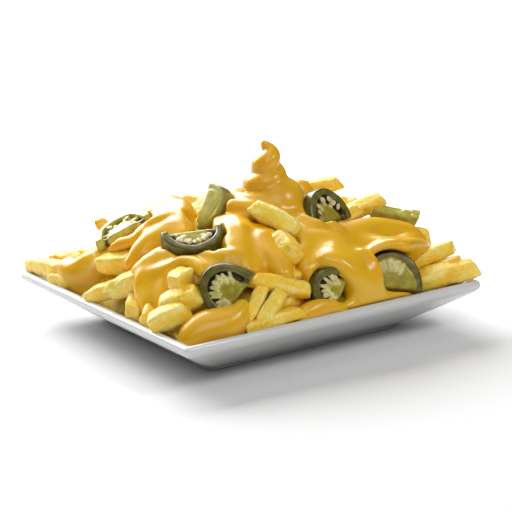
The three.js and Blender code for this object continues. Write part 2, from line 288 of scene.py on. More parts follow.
def inside_rim(fry):
    x, y, z, heading, pitch, length, thickness, roll = fry
    half = length / 2 * math.cos(math.radians(pitch))
    room_x = FRY_SPREAD - half * abs(math.cos(math.radians(heading))) - thickness * FRY_ROOM
    room_y = FRY_SPREAD - half * abs(math.sin(math.radians(heading))) - thickness * FRY_ROOM
    x = min(max(x, -room_x), room_x)
    y = min(max(y, -room_y), room_y)
    return (x, y, z, heading, pitch, length, thickness, roll)


def fry_axes(heading, pitch, roll):
    turned = Matrix.Rotation(math.radians(heading), 3, "Z") @ Matrix.Rotation(-math.radians(pitch), 3, "Y")
    return turned @ Matrix.Rotation(math.radians(roll), 3, "X")


def spots_along(fry, count=5):
    x, y, z, heading, pitch, length, thickness, roll = fry
    line = fry_axes(heading, pitch, roll).col[0] * length
    return [Vector((x, y, z)) + line * (step / (count - 1) - 0.5) for step in range(count)]


def above_plate(fry):
    # Lifted until it clears the plate along its whole length
    x, y, z, *lie, thickness, roll = fry
    room = thickness * FRY_ROOM
    lift = max(float(plate_inside(spot.x, spot.y)) + room - spot.z for spot in spots_along(fry))
    return (x, y, z + max(lift, 0), *lie, thickness, roll)


def kept_clear():
    # The rooms listed, and the room in front of each pepper slice
    rooms = [(Vector(room[:3]), room[3]) for room in CLEAR_ROOMS]
    for x, y, z, heading, elevation, spin, width, *_ in PEPPERS:
        rooms.append((Vector((x, y, z)) + slice_axes(heading, elevation, spin).col[2] * 6, width * 0.42))
    return rooms


def is_clear(spots, rooms):
    return all((centre - spot).length >= radius for centre, radius in rooms for spot in spots)


def loose_fries():
    draw = np.random.default_rng(7)
    rooms = kept_clear()
    fries = []
    for layer, (count, depth) in enumerate(LOOSE_LAYERS):
        for i in range(count):
            out = SPREAD_OUT * math.sqrt((i + 0.5) / count)
            around = math.radians(NEXT_TURN * i + 50 * layer)
            square = (math.cos(around) ** 6 + math.sin(around) ** 6) ** (-1 / 6)
            x, y = out * square * math.cos(around), out * square * math.sin(around)
            heading = math.degrees(around) + 90 + draw.uniform(-40, 40)
            pitch, roll = draw.uniform(-12, 12), draw.uniform(0, 90)
            length, thickness = draw.uniform(32, 56), draw.uniform(7.5, 9.5)
            x, y, *_ = inside_rim((x, y, 0, heading, pitch, length, thickness, roll))
            fry = (x, y, float(heap_height(x, y)) - depth, heading, pitch, length, thickness, roll)
            near = any(math.dist((x, y), laid[:2]) < 9 for laid in HAND_LAID)
            if is_clear(spots_along(fry), rooms) and (layer or not near):
                fries.append(above_plate(fry))
    return fries


def fries_at_the_rim():
    # A row along each side of the plate, under the rest
    draw = np.random.default_rng(11)
    rooms = kept_clear()
    fries = []
    for side in range(4):
        turned = Matrix.Rotation(math.pi / 2 * side, 3, "Z")
        for along in RIM_ROW:
            spot = turned @ Vector((along + draw.uniform(-4, 4), -RIM_ROW_OUT, 0))
            heading, pitch = 90 * side + draw.uniform(-7, 7), draw.uniform(-4, 4)
            length, thickness, roll = draw.uniform(26, 34), draw.uniform(7.5, 8.5), draw.uniform(0, 90)
            spot.z = RIM_ROW_HEIGHT + draw.uniform(-1, 1)
            fry = (*spot, heading, pitch, length, thickness, roll)
            if is_clear(spots_along(fry, 3), rooms):
                fries.append(above_plate(fry))
    return fries


def mark_points(piece, name, kind, field, values):
    attribute = piece.data.attributes.new(name, kind, "POINT")
    attribute.data.foreach_set(field, np.asarray(values, np.float32).ravel())


def fry_shape():
    # One stick with crisp edges, sunken sides and slanted ends
    length, half = STICK_LENGTH, STICK_THICKNESS / 2
    around_steps, along_steps = 20, 20
    ends = [(0, 0.4), (0.15, 0.8), (0.7, 0.97)]
    stations = [(-length / 2 + inset, scale) for inset, scale in ends]
    stations += [(x, 1.0) for x in np.linspace(-length / 2 + 1.8, length / 2 - 1.8, along_steps)]
    stations += [(length / 2 - inset, scale) for inset, scale in reversed(ends)]
    points, crisp = [(-length / 2 * MM, 0, 0)], [0.3]
    for x, scale in stations:
        taper = (1 + 0.06 * math.sin(x * 0.11 + 1)) * (1 - 0.2 * abs(2 * x / length) ** 4)
        for step in range(around_steps):
            angle = 2 * math.pi * (step + 0.5) / around_steps
            corner = (abs(math.cos(angle)) ** 5 + abs(math.sin(angle)) ** 5) ** (-1 / 5)
            reach = half * corner * scale * taper * (1 - 0.05 * math.cos(2 * angle) ** 2)
            y, z = reach * math.cos(angle), reach * math.sin(angle)
            slant = (0.7 * y if x < 0 else -0.55 * z) * abs(2 * x / length) ** 4
            points.append(((x + slant) * MM, y * MM, z * MM))
            at_end = 1.0 if 0.9 < scale < 1 else 0.0
            crisp.append(max(abs(math.sin(2 * angle)) ** 6, at_end))
    points.append((length / 2 * MM, 0, 0))
    crisp.append(0.3)
    stick = mesh_object("fry_shape", points, ring_faces(len(stations), around_steps))
    mark_points(stick, "crisp_edge", "FLOAT", "value", crisp)
    return stick


def fried_potato():
    crust, tree, shader = new_material("fried_potato", {
        "Sheen Weight": 0.12, "Sheen Roughness": 0.45, "Sheen Tint": (1.0, 0.93, 0.60, 1),
        "Subsurface Weight": 0.12, "Subsurface Radius": (1.0, 0.6, 0.2), "Subsurface Scale": 0.002,
        "IOR": 1.45, "Specular IOR Level": 0.75})
    edge = add_node(tree, "ShaderNodeAttribute", attribute_name="crisp_edge")
    stick = add_node(tree, "ShaderNodeAttribute", attribute_name="stick")
    mottle = noise_node(tree, Scale=95, Detail=4, Roughness=0.55)
    flecks = noise_node(tree, Scale=900, Detail=3)
    golden = colour_ramp(tree, (0.3, (0.98, 0.61, 0.018)), (0.62, (1.0, 0.76, 0.03)))
    fleck_crust_and_glints = add_node(tree, "ShaderNodeMapRange", {"From Min": 0.50, "From Max": 0.62})
    patches = add_node(tree, "ShaderNodeMapRange", {
        "From Min": 0.42, "From Max": 0.62, "To Min": 0.05, "To Max": 0.9})
    # The pale mix lightens the crisp edges and the flecks: partly a pale dry crust, partly painted
    # highlights standing in for glints and edge sheen.
    pale_crust_and_glints = add_node(tree, "ShaderNodeMath", {1: 0.55}, operation="MULTIPLY_ADD")
    shade = add_node(tree, "ShaderNodeMath", operation="MULTIPLY")
    pale = add_node(tree, "ShaderNodeMix", {"B": (1.0, 0.90, 0.45, 1)}, data_type="RGBA")
    brown = add_node(tree, "ShaderNodeMix", {"B": (1.0, 0.85, 0.55, 1)}, data_type="RGBA",
                     blend_type="MULTIPLY")
    gloss = add_node(tree, "ShaderNodeMapRange", {"To Min": 0.18, "To Max": 0.38})
    join(tree, [
        (mottle, "Fac", golden, "Fac"),
        (flecks, "Fac", fleck_crust_and_glints, "Value"),
        (edge, "Fac", pale_crust_and_glints, 0),
        (fleck_crust_and_glints, "Result", pale_crust_and_glints, 2),
        (mottle, "Fac", patches, "Value"),
        (pale_crust_and_glints, 0, shade, 0),
        (patches, "Result", shade, 1),
        (shade, 0, pale, "Factor"),
        (golden, "Color", pale, "A"),
        (stick, "Fac", brown, "Factor"),
        (pale, "Result", brown, "A"),
        (brown, "Result", shader, "Base Color"),
        (mottle, "Fac", gloss, "Value"),
        (gloss, "Result", shader, "Roughness"),
    ])
    add_relief(tree, shader, flecks, 0.85, 0.0006)
    return crust


def growing_tree(name, inputs):
    # A geometry tree that takes points and the named inputs
    tree = bpy.data.node_groups.new(name, "GeometryNodeTree")
    tree.interface.new_socket(name="Geometry", in_out="INPUT", socket_type="NodeSocketGeometry")
    for label, (kind, value) in inputs.items():
        socket = tree.interface.new_socket(name=label, in_out="INPUT", socket_type=kind)
        if value is not None:
            socket.default_value = value
    tree.interface.new_socket(name="Geometry", in_out="OUTPUT", socket_type="NodeSocketGeometry")
    return tree, add_node(tree, "NodeGroupInput"), add_node(tree, "NodeGroupOutput")


def attribute_node(tree, name, kind):
    return add_node(tree, "GeometryNodeInputNamedAttribute", {"Name": name}, data_type=kind)


def laid_on_points(tree, given, shape, size, size_kind):
    # A copy of the shape on every point, turned and sized by the point's attributes
    turn = attribute_node(tree, "turn", "FLOAT_VECTOR")
    scale = attribute_node(tree, size, size_kind)
    rotation = add_node(tree, "FunctionNodeEulerToRotation")
    model = add_node(tree, "GeometryNodeObjectInfo")
    lay = add_node(tree, "GeometryNodeInstanceOnPoints")
    join(tree, [
        (given, "Geometry", lay, "Points"),
        (given, shape, model, "Object"),
        (model, "Geometry", lay, "Instance"),
        (turn, "Attribute", rotation, "Euler"),
        (rotation, "Rotation", lay, "Rotation"),
        (scale, "Attribute", lay, "Scale"),
    ])
    return lay


def fry_tree(material):
    tree, given, result = growing_tree("fries_in_a_heap", {
        "Stick": ("NodeSocketObject", None), "Bend": ("NodeSocketFloat", 0.0045),
        "Lumps": ("NodeSocketFloat", 0.0024), "Crust": ("NodeSocketFloat", 0.0009)})
    lay = laid_on_points(tree, given, "Stick", "stretch", "FLOAT_VECTOR")
    chance = add_node(tree, "FunctionNodeRandomValue", {"Seed": 5}, data_type="FLOAT")
    mark = add_node(tree, "GeometryNodeStoreNamedAttribute", {"Name": "stick"}, domain="INSTANCE",
                    data_type="FLOAT")
    realize = add_node(tree, "GeometryNodeRealizeInstances")

    # Every stick reads the noise in a place of its own, so that no two alike lie side by side
    place = add_node(tree, "GeometryNodeInputPosition")
    number = attribute_node(tree, "stick", "FLOAT")
    shift = add_node(tree, "ShaderNodeVectorMath", {1: (3.1, 5.7, 4.3)}, operation="MULTIPLY_ADD")
    bend_noise = add_node(tree, "ShaderNodeTexNoise", {"Scale": 22, "Detail": 0})
    centred = add_node(tree, "ShaderNodeVectorMath", {1: (0.5, 0.5, 0.5)}, operation="SUBTRACT")
    bent = add_node(tree, "ShaderNodeVectorMath", operation="SCALE")
    curve = add_node(tree, "GeometryNodeSetPosition")
    join(tree, [
        (lay, "Instances", mark, "Geometry"),
        (chance, 1, mark, "Value"),
        (mark, "Geometry", realize, "Geometry"),
        (number, "Attribute", shift, 0),
        (place, "Position", shift, 2),
        (shift, "Vector", bend_noise, "Vector"),
        (bend_noise, "Color", centred, 0),
        (centred, "Vector", bent, 0),
        (given, "Bend", bent, "Scale"),
        (realize, "Geometry", curve, "Geometry"),
        (bent, "Vector", curve, "Offset"),
    ])
    shaped = curve
    for scale, detail, amount in ((110, 1.5, "Lumps"), (420, 2.0, "Crust")):
        normal = add_node(tree, "GeometryNodeInputNormal")
        noise = add_node(tree, "ShaderNodeTexNoise", {"Scale": scale, "Detail": detail})
        middle = add_node(tree, "ShaderNodeMath", {1: 0.5}, operation="SUBTRACT")
        depth = add_node(tree, "ShaderNodeMath", operation="MULTIPLY")
        push = add_node(tree, "ShaderNodeVectorMath", operation="SCALE")
        move = add_node(tree, "GeometryNodeSetPosition")
        join(tree, [
            (shift, "Vector", noise, "Vector"),
            (noise, "Fac", middle, 0),
            (middle, 0, depth, 0),
            (given, amount, depth, 1),
            (normal, "Normal", push, 0),
            (depth, 0, push, "Scale"),
            (shaped, "Geometry", move, "Geometry"),
            (push, "Vector", move, "Offset"),
        ])
        shaped = move
    smooth = add_node(tree, "GeometryNodeSetShadeSmooth")
    finish = add_node(tree, "GeometryNodeSetMaterial", {"Material": material})
    join(tree, [
        (shaped, "Geometry", smooth, "Geometry"),
        (smooth, "Geometry", finish, "Geometry"),
        (finish, "Geometry", result, "Geometry"),
    ])
    return tree


def as_it_shows(piece):
    # The mesh that the piece's modifiers make of it
    bpy.context.view_layer.update()
    evaluated = piece.evaluated_get(bpy.context.evaluated_depsgraph_get())
    return bpy.data.meshes.new_from_object(evaluated)


def grown(name, source, tree, values):
    # The modifier's result as a plain mesh of its own
    modifier = source.modifiers.new("grow", "NODES")
    modifier.node_group = tree
    for item in tree.interface.items_tree:
        if item.item_type == "SOCKET" and item.in_out == "INPUT" and item.name in values:
            modifier[item.identifier] = values[item.name]
    mesh = as_it_shows(source)
    mesh.name = name
    source.modifiers.remove(modifier)
    bpy.data.objects.remove(source)
    piece = bpy.data.objects.new(name, mesh)
    bpy.context.collection.objects.link(piece)
    return piece


all_fries = HAND_LAID + loose_fries() + fries_at_the_rim()
lain = mesh_object("fry_places", [(x * MM, y * MM, z * MM) for x, y, z, *_ in all_fries], [])
mark_points(lain, "turn", "FLOAT_VECTOR", "vector", [
    (math.radians(fry[7]), -math.radians(fry[4]), math.radians(fry[3])) for fry in all_fries])
mark_points(lain, "stretch", "FLOAT_VECTOR", "vector", [
    (length / STICK_LENGTH, thickness / STICK_THICKNESS, thickness / STICK_THICKNESS)
    for *_, length, thickness, _ in all_fries])
potato = fried_potato()
stick_shape = fry_shape()
fries = grown("fries", lain, fry_tree(potato), {"Stick": stick_shape})
bpy.data.objects.remove(stick_shape)
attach(fries, "root")
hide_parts("fries_heap")


def heap_core():
    # The inside of the heap, seen only down in the gaps
    steps = CORE_STEPS
    across_plate = np.linspace(-CORE_HALF, CORE_HALF, steps + 1)
    x, y = np.meshgrid(across_plate, across_plate, indexing="ij")
    floor = plate_inside(x, y) + 0.6
    lumps = 1.6 * np.sin(x * 0.55 + 2 * np.sin(y * 0.21)) * np.sin(y * 0.5 + 2 * np.sin(x * 0.17))
    crown = np.maximum(heap_height(x, y) - CORE_DEPTH + lumps, floor + 3 + 0.6 * lumps)
    count = (steps + 1) ** 2
    points = [(a, b, c) for grid in (crown, floor) for a, b, c in zip(
        (x * MM).ravel(), (y * MM).ravel(), (grid * MM).ravel())]
    faces = []
    for i in range(steps):
        for j in range(steps):
            a, b = i * (steps + 1) + j, (i + 1) * (steps + 1) + j
            faces.append((a, b, b + 1, a + 1))
            faces.append((a + count, a + 1 + count, b + 1 + count, b + count))
    edge = [i * (steps + 1) for i in range(steps)] + [steps * (steps + 1) + j for j in range(steps)]
    edge += [i * (steps + 1) + steps for i in range(steps, 0, -1)] + list(range(steps, 0, -1))
    faces += [(a, a + count, b + count, b) for a, b in zip(edge, edge[1:] + edge[:1])]
    return mesh_object("heap_core", points, faces)


core_piece = heap_core()
core_piece.data.materials.append(potato)
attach(core_piece, "root")


# ---------------------------------------------------------------------------
# Cheese sauce: poured warm over the fries, so it drapes over them in thick
# tongues with round lips, and piped on top in a soft swirl with a curled tip.
# ---------------------------------------------------------------------------
SAUCE_STEP = 1.1
SAUCE_LOW, SAUCE_HIGH = np.array([-103.0, -103.0, 16.0]), np.array([103.0, 103.0, 122.0])
LIP = 3.2  # the radius of the sheet's edge
SHEET_OVER = 3.8  # how far the sheet's upper side lies off the fries
FRY_EDGE, FRY_BLEND = 1.5, 2.2  # how round the fries' edges, and the corners between them, are under it
FAR_OFF = 40.0  # the distance that stands for nothing near
SAUCE_SPREAD = 96  # how far out the sauce may run
# how far off a path its distance is worked out, and how softly each kind melts into the rest
STREAM_MELT, MASS_MELT, FOLD_MELT = (14, 2.5), (12, 6.0), (6, 3.0)
FURROW_MELT, LAP_MELT = (8, 3.5), (10, 5.0)
ROPE_REACH, ROPE_MELT, FOOT_MELT = 6, 1.6, 2.0
SLICE_GAP, PLATE_GAP = 0.3, 0.4  # between the sauce and what it lies against
# how far in front of each slice's face, and of its straight cut, no sauce runs
FACE_CLEAR = [12, 10, 14, 12, 10, 0, 0, 12, 12, 12, 12]
CUT_CLEAR = [6, 0, 2, 0, 0, 0, 0, 0, 0, 0, 0]
# fries of the list laid one by one that lie on top of the sauce
ON_TOP = (3, 12, 13, 14, 27)
# the sheet's streams: x, y, z, half width along the way that the sauce ran
STREAMS = {
    "left_mound": [(-37, 28, 72, 10), (-41, 13, 73, 11), (-48, -3, 71, 10), (-55, -15, 68, 9)],
    "left_tongue": [(-50, -4, 70, 6), (-62, -4, 65, 5), (-72, -3, 59, 4)],
    "under_first_slice": [(-54, 12, 70, 8), (-66, 12, 63, 8), (-74, 22, 57, 9), (-80, 34, 51, 9)],
    "far_left": [(-78, 44, 49, 9), (-84, 52, 42, 9), (-88, 60, 34, 8)],
    "middle_left": [(-56, -36, 65, 9), (-68, -30, 60, 9), (-76, -25, 53, 8), (-81, -29, 45, 8),
                    (-84, -36, 38, 6)],
    "under_slices": [(-60, -46, 63, 9), (-58, -57, 61, 8), (-50, -62, 62, 9), (-43, -66, 60, 8)],
    "centre_left": [(-24, -26, 78, 12), (-30, -40, 74, 12), (-34, -54, 68, 10), (-37, -66, 60, 7)],
    "centre_left_low": [(-18, -46, 72, 9), (-20, -60, 66, 9), (-21, -70, 59, 7), (-22, -77, 52, 5)],
    "swirl_foot": [(-12, -20, 79, 12), (2, -30, 78, 13), (16, -28, 78, 12), (24, -14, 79, 12)],
    "front": [(9, -42, 75, 10), (9, -54, 70, 10), (10, -66, 63, 12), (16, -76, 55, 12), (22, -84, 46, 9)],
    "front_left": [(8, -66, 62, 8), (-1, -72, 58, 7), (-6, -78, 53, 5)],
    "right": [(28, -62, 65, 9), (44, -62, 62, 11), (60, -60, 59, 11), (73, -57, 55, 10), (81, -60, 49, 6)],
    "right_slope": [(20, -14, 79, 10), (34, -14, 77, 9)],
    "back_right": [(16, 4, 78, 13), (30, 26, 70, 12), (44, 46, 58, 10), (56, 62, 46, 8), (62, 74, 36, 6)],
    "back": [(2, 10, 78, 13), (-4, 34, 70, 12), (-8, 56, 60, 11), (-12, 74, 46, 9), (-14, 84, 36, 7)],
    "right_side": [(30, -4, 77, 9), (56, 8, 67, 8), (74, 14, 54, 8), (86, 16, 41, 6)],
    "back_left": [(-24, 40, 70, 9), (-40, 54, 62, 9), (-50, 68, 51, 7)],
}
# thick rounded masses in and on the sheet: x, y, z, radius
MASSES = {
    "mound": [(-46, 33, 61, 8), (-39, 32, 65.5, 10), (-33, 25, 67.5, 10.5), (-37, 12, 69.5, 11),
              (-46, -2, 67, 10.5), (-53, -13, 63.5, 9)],
    "mound_left": [(-52, 22, 64, 7), (-54, 11, 65, 7), (-58, 2, 64, 6), (-63, -4, 62, 5.5)],
    "mound_middle": [(-44, 22, 62.5, 12), (-47, 7, 64, 12.5), (-52, -5, 61, 11.5)],
    "tongue": [(-56, -8, 67, 6.5), (-62, -7, 64, 6), (-68, -6, 61, 5.4), (-74, -5, 57, 4.6),
               (-79, -4, 52.5, 4.2)],
    "far_left_ridge": [(-89, 58, 33, 4.5), (-84.5, 49.5, 40.5, 5), (-79.5, 42, 45.5, 5.2),
                       (-74, 34, 46, 5)],
    "far_left_face": [(-87, 54, 32.5, 6), (-82.5, 47, 34.5, 6.5), (-77.5, 41, 36.5, 6.5),
                      (-73.5, 36, 39.5, 6)],
    "far_left_foot": [(-87.5, 52, 26.5, 5.5), (-82.5, 45, 25, 6), (-77.5, 39, 25.5, 6)],
    "curtain_left": [(-74, -17, 55, 4.5), (-79, -19, 49, 5), (-83, -26, 42, 5), (-85, -32, 35, 4.5),
                     (-87, -36, 30, 3.5)],
    "curtain_middle": [(-69, -26, 57, 6), (-76, -28, 50, 6), (-80, -34, 42, 5.5), (-83, -40, 35, 5),
                       (-85, -44, 30, 4)],
    "curtain_right": [(-64, -32, 60, 5), (-71, -36, 54, 5.5), (-77, -42, 46, 5.5), (-81, -48, 38, 5),
                      (-84, -52, 32, 3.5)],
    "centre_dome": [(-27, -32, 69, 8.5), (-31, -43, 65, 10.5), (-34, -53, 59, 10), (-36, -61, 55, 9),
                    (-37, -67, 51, 7)],
    "centre_low_dome": [(-19, -52, 63, 8), (-20, -61, 58, 8), (-21, -69, 52, 7.5), (-22, -76, 46, 6)],
    "front_dome": [(14, -56, 58, 10), (17, -65, 54, 12.5), (21, -72, 48, 13), (25, -78, 42, 12),
                   (28, -83, 37, 9.5)],
    "front_dome_left": [(12, -62, 56, 9), (4, -68, 52, 9), (-1, -73, 49, 7.5), (-4, -79, 45, 5.5)],
    "dome_side": [(11, -77, 54, 8), (16, -81, 50, 8.5), (21, -85, 45, 8.5), (25, -88, 39, 7)],
    "front_drip": [(21, -86, 37, 6), (28, -89, 33, 6), (32, -91, 30, 5)],
    "front_foot": [(5, -93, 27, 4.5), (17, -91, 28, 6), (30, -91, 28, 5.5), (41, -92, 27.5, 5),
                   (52, -93, 27, 3.5)],
    "right_body": [(30, -62, 56, 9), (44, -56, 56, 10), (58, -52, 55, 10), (70, -53, 51, 9),
                   (78, -57, 47, 7)],
    "right_front": [(30, -70, 47, 9), (40, -70, 51, 9), (51, -74, 51, 8.5), (63, -74, 49, 8),
                    (74, -68, 46, 7), (81, -63, 45, 6)],
}
# ropes and lips on top of the rest: x, y, z, radius
FOLDS = {
    "nub_fold": [(-79, -31, 53, 3), (-74, -40, 57, 3.4), (-68, -44, 60, 3.6), (-64, -52, 60, 3.4),
                 (-64, -61, 56, 3)],
    "slice_lip": [(27, -80, 36, 3.6), (29, -77.5, 44, 3.8), (36, -78.5, 52, 4), (46, -82, 56.5, 4),
                  (55, -85, 55.5, 4), (66, -80, 52.5, 4), (76, -74, 49, 3.8), (84, -68, 45, 3.4)],
    "stream_lip": [(10, -50, 72, 3.5), (15, -57, 69, 3.8), (22, -57, 69, 3.8), (26, -63, 65, 3.4)],
    "foot_roll": [(-18, -20, 79, 4.5), (-8, -30, 78, 4.5), (2, -36, 76, 4)],
    "curtain_crest": [(-83, -17, 52, 2.6), (-78, -21, 57, 3), (-72, -25, 61, 3), (-67, -27, 63, 2.6)],
    "curtain_drip": [(-81, -24, 49, 2.6), (-84, -30, 43, 3), (-87, -36, 36, 3), (-88, -40, 30, 2.4)],
    "coated_lump": [(46, -12, 67, 5.5), (51, -16, 68, 6), (56, -21, 67, 5)],
}
# the sauce that lies over the edges of two slices
OVERLAPS = {
    "over_seventh": [(4, -82, 56, 4.5), (9, -85.5, 54, 5), (13, -88.5, 50, 5), (17, -91.5, 45, 5),
                     (20.5, -92.5, 39, 5)],
    "over_eighth": [(29, -82, 54, 4), (31, -87, 50, 4.5), (31, -90, 44, 4.8), (30.5, -91.5, 38, 5),
                    (29, -92, 32, 5)],
}
# furrows between the folds
FURROWS = {
    "in_mound": [(-61, 3, 72, 2.6), (-57, -2, 75, 3.2), (-53, -6, 78.5, 2.6)],
    "between_lobes": [(-25, -50, 73, 2.5), (-30, -62, 68.5, 3.4), (-34.5, -70, 64, 3.6),
                      (-40, -77, 59.5, 3)],
}
SWIRL_AXIS = (8, -18)
# the piped rope: turned angle, height, distance of its middle from the axis, radius
SWIRL_ROPE = [(60, 70, 18, 4.5), (148, 72.5, 19, 5.5), (238, 73.8, 16, 4.8), (328, 75, 15.5, 4.5),
              (508, 79.5, 18.5, 5.2), (598, 81, 12.7, 5), (688, 82.2, 12.5, 5.5), (868, 87.7, 9, 6.6),
              (1048, 92.8, 3.2, 7.6), (1228, 98, 2.6, 7.6), (1408, 105, 2.3, 5.2),
              (1528, 110.5, 2.2, 2.8), (1588, 113, 1.6, 1.2)]
SWIRL_CORE = [(9, -19, 62, 23), (11, -22, 69, 20), (10.5, -22.5, 75, 18), (9, -21, 79.5, 13.5),
              (8.5, -19, 86, 7), (8, -18, 97, 3)]


def grid_axes(low, high, step):
    return [np.arange(low[i], high[i] + step, step) for i in range(3)]


def open_grid(axes):
    return axes[0][:, None, None], axes[1][None, :, None], axes[2][None, None, :]


def window(axes, low, high):
    # The part of the grid inside a box, as slices and as open coordinates
    cuts = [slice(*np.searchsorted(axis, (low[i], high[i]))) for i, axis in enumerate(axes)]
    return tuple(cuts), open_grid([axis[cut] for axis, cut in zip(axes, cuts)])


def melt(a, b, reach):
    # The smooth union of two shapes given by their distances
    return np.minimum(a, b) - np.maximum(reach - np.abs(a - b), 0) ** 2 / (4 * reach)


def curved(chain, pieces=5):
    # A smooth path through the stations of a chain
    stations = [np.array(station, float) for station in chain]
    stations = [2 * stations[0] - stations[1]] + stations + [2 * stations[-1] - stations[-2]]
    path = []
    for a, b, c, d in zip(stations, stations[1:], stations[2:], stations[3:]):
        for step in range(pieces):
            t = step / pieces
            path.append(0.5 * (2 * b + (c - a) * t + (2 * a - 5 * b + 4 * c - d) * t ** 2
                               + (3 * b - a - 3 * c + d) * t ** 3))
    return path + [stations[-2]]


def distance_to_path(axes, path, reach):
    field = np.full([len(axis) for axis in axes], FAR_OFF)
    for start, end in zip(path, path[1:]):
        a, b = start[:3], end[:3]
        pad = max(start[3], end[3]) + reach
        cuts, (x, y, z) = window(axes, np.minimum(a, b) - pad, np.maximum(a, b) + pad)
        run = b - a
        share = ((x - a[0]) * run[0] + (y - a[1]) * run[1] + (z - a[2]) * run[2]) / max(run @ run, 1e-6)
        share = np.clip(share, 0, 1)
        gap = np.sqrt((x - a[0] - share * run[0]) ** 2 + (y - a[1] - share * run[1]) ** 2
                      + (z - a[2] - share * run[2]) ** 2)
        field[cuts] = np.minimum(field[cuts], gap - start[3] - share * (end[3] - start[3]))
    return field


def distance_to_fries(axes, fries, blend):
    # How far each point lies from the fries, with the corners between them filled
    x, y, z = open_grid(axes)
    crown = heap_height(x, y)
    weight = np.exp(-np.clip((z - crown + 8) * 0.75, -60, 60) / blend)
    for cx, cy, cz, heading, pitch, length, thickness, roll in fries:
        turned = fry_axes(heading, pitch, roll)
        pad = length / 2 + 14
        centre = np.array([cx, cy, cz])
        cuts, (wx, wy, wz) = window(axes, centre - pad, centre + pad)
        sides = []
        for column, half in zip(turned.transposed(), (length / 2, thickness / 2, thickness / 2)):
            along = (wx - cx) * column[0] + (wy - cy) * column[1] + (wz - cz) * column[2]
            sides.append(np.abs(along) - half + FRY_EDGE)
        out = np.sqrt(sum(np.maximum(side, 0) ** 2 for side in sides))
        gap = out + np.minimum(np.maximum(np.maximum(sides[0], sides[1]), sides[2]), 0) - FRY_EDGE
        weight[cuts] += np.exp(-np.clip(gap, -12, 60) / blend)
    return -blend * np.log(weight)


def to_ellipse(x, y, half_width, half_depth):
    near = np.hypot(x / half_width, y / half_depth)
    slope = np.hypot(x / half_width ** 2, y / half_depth ** 2)
    return near * (near - 1) / np.maximum(slope, 1e-6)


def slice_room(axes, row, ahead, below):
    # The distance to a slice and to the room in front of its face
    x, y, z, heading, elevation, spin, width, depth, thickness, *_ = row
    centre, pad = np.array([x, y, z]), 30
    cuts, (wx, wy, wz) = window(axes, centre - pad, centre + pad)
    turned = slice_axes(heading, elevation, spin)
    u, v, w = ((wx - x) * axis[0] + (wy - y) * axis[1] + (wz - z) * axis[2] for axis in turned.transposed())
    cut = -CUT_SHARE * depth
    outline = np.maximum(to_ellipse(u, v - cut, width / 2, depth), cut - v)
    within = np.maximum(-w - thickness / 2, w - thickness / 2 - ahead)
    room = np.maximum(outline, within)
    if below:
        open_cut = np.maximum(np.maximum(np.abs(u) - width / 2, cut - below - v), v)
        room = np.minimum(room, np.maximum(open_cut, within))
    return cuts, room


def carved(field, hollow, reach):
    return -melt(-field, hollow, reach)


def skin(name, field, axes, step, smoothing=4):
    # The closed surface where the field is zero: one point in each cell that it crosses
    inside = field < 0
    shape = np.array(field.shape) - 1
    corners = [(i, j, k) for i in (0, 1) for j in (0, 1) for k in (0, 1)]

    def at(grid, corner):
        return grid[tuple(slice(c, c + n) for c, n in zip(corner, shape))]

    filled = sum(at(inside, corner).astype(np.int8) for corner in corners)
    crossed = (filled > 0) & (filled < 8)
    number = np.full(shape, -1)
    number[crossed] = np.arange(crossed.sum())
    total = np.zeros((crossed.sum(), 3))
    hits = np.zeros(crossed.sum())
    for a in corners:
        for axis in range(3):
            if a[axis]:
                continue
            b = tuple(c + (i == axis) for i, c in enumerate(a))
            va, vb = at(field, a)[crossed], at(field, b)[crossed]
            change = (va < 0) != (vb < 0)
            share = va / np.where(change, va - vb, 1)
            spot = np.array([a] * len(va), float)
            spot[:, axis] += share
            total += spot * change[:, None]
            hits += change
    cell = np.argwhere(crossed)
    low = np.array([axis[0] for axis in axes])
    points = (low + (cell + total / hits[:, None]) * step) * MM
    faces = []
    for axis in range(3):
        one, two = (axis + 1) % 3, (axis + 2) % 3
        here = tuple(slice(1, n) if i != axis else slice(0, n) for i, n in enumerate(shape))
        ahead = tuple(slice(1, n) if i != axis else slice(1, n + 1) for i, n in enumerate(shape))
        start, end = inside[here], inside[ahead]
        spots = np.argwhere(start != end)
        outward = start[start != end]
        spots[:, one] += 1
        spots[:, two] += 1
        ring = []
        for back_one, back_two in ((1, 1), (0, 1), (0, 0), (1, 0)):
            near = spots.copy()
            near[:, one] -= back_one
            near[:, two] -= back_two
            ring.append(number[tuple(near.T)])
        ring = np.stack(ring, axis=1)
        ring[~outward] = ring[~outward][:, ::-1]
        faces.append(ring)
    faces = np.concatenate(faces)
    piece = mesh_object(name, points.tolist(), faces.tolist())
    settle = piece.modifiers.new("settle", "SMOOTH")
    settle.factor = 0.5
    settle.iterations = smoothing
    settled = as_it_shows(piece)
    piece.modifiers.remove(settle)
    piece.data = settled
    return piece


def melted_cheese():
    cheese, tree, shader = new_material("melted_cheese", {
        "Roughness": 0.3, "IOR": 1.42, "Subsurface Weight": 0.45,
        "Subsurface Radius": (1.0, 0.55, 0.12), "Subsurface Scale": 0.004,
        "Coat Weight": 0.42, "Coat Roughness": 0.27})
    clouds = noise_node(tree, Scale=28, Detail=2)
    tint = colour_ramp(tree, (0.35, (0.79, 0.42, 0.0075)), (0.68, (0.84, 0.50, 0.011)))
    join(tree, [(clouds, "Fac", tint, "Fac"), (tint, "Color", shader, "Base Color")])
    add_relief(tree, shader, noise_node(tree, Scale=75, Detail=1.5), 0.12, 0.0012)
    return cheese


def melted_in(field, axes, chains, reach, softness):
    for chain in chains.values():
        field = melt(field, distance_to_path(axes, curved(chain), reach), softness)
    return field


